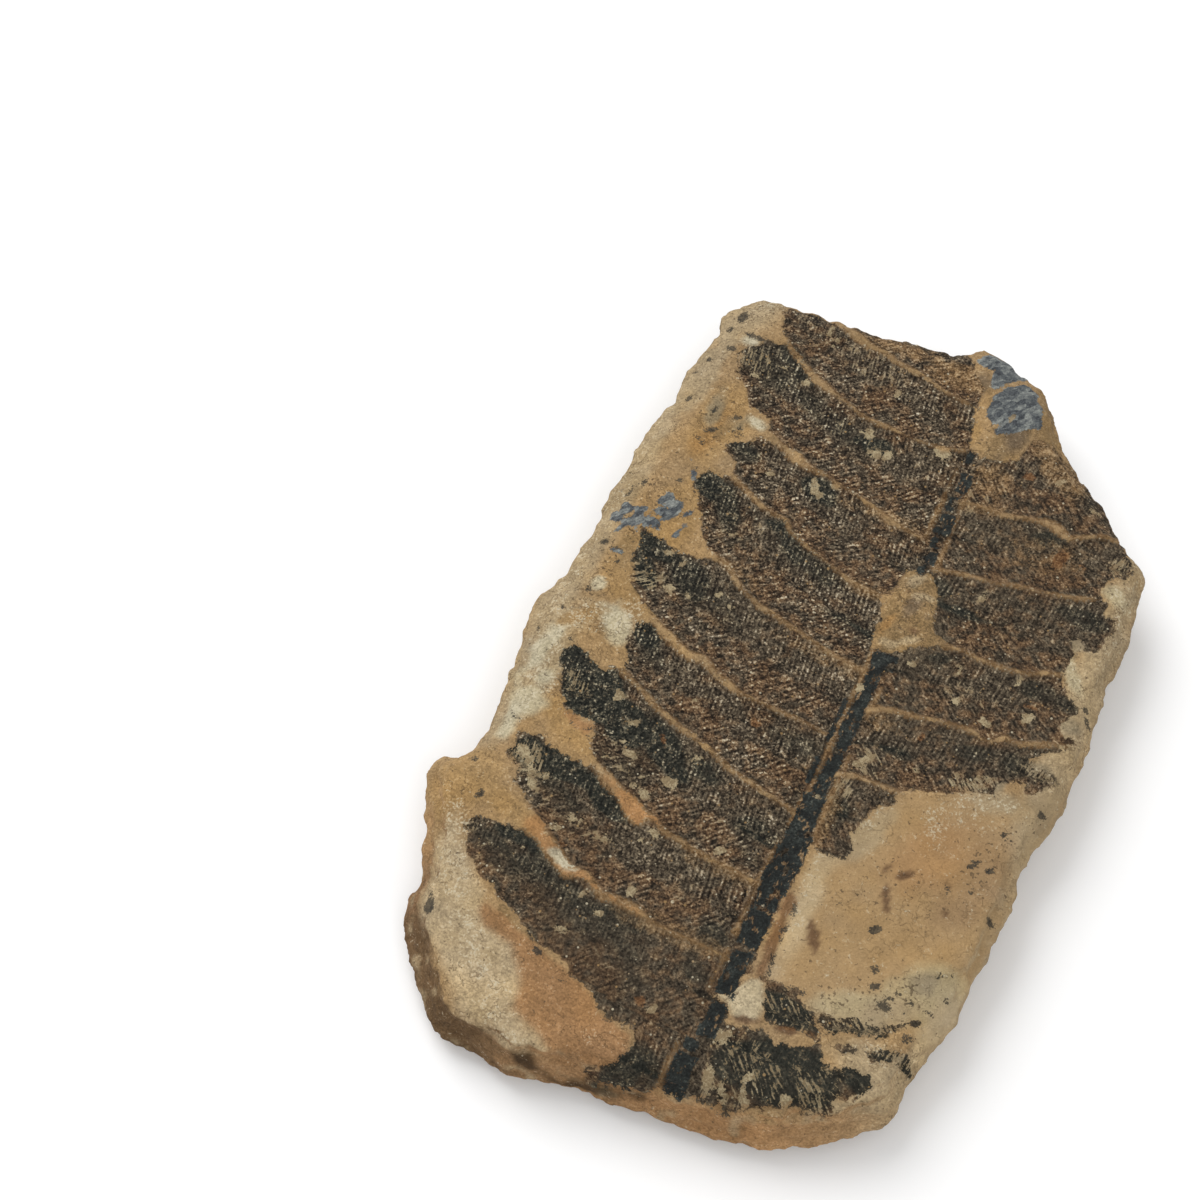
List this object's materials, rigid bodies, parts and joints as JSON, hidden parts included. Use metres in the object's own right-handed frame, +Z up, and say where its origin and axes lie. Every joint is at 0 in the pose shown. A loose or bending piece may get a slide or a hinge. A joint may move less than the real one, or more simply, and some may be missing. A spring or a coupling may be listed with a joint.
{
  "type": "fossil fern plate",
  "caption": "Slab of split sandstone with the dark impression of a fern frond across its face, its stalk and leaflets in low relief.",
  "frame": {"origin": "middle of the slab's bounding box in plan, on the surface the slab rests on", "axes": "+Z up out of the fossil face, +Y along the frond's stalk towards the frond's tip, +X across the slab"},
  "size_m": [0.0829, 0.1331, 0.0127],
  "materials": {
    "stone": "matt split sandstone, tan to brown, with a dark brown to black plant film on its face"
  },
  "bodies": {
    "root": {"fern_plate": "stone"}
  },
  "joints": []
}
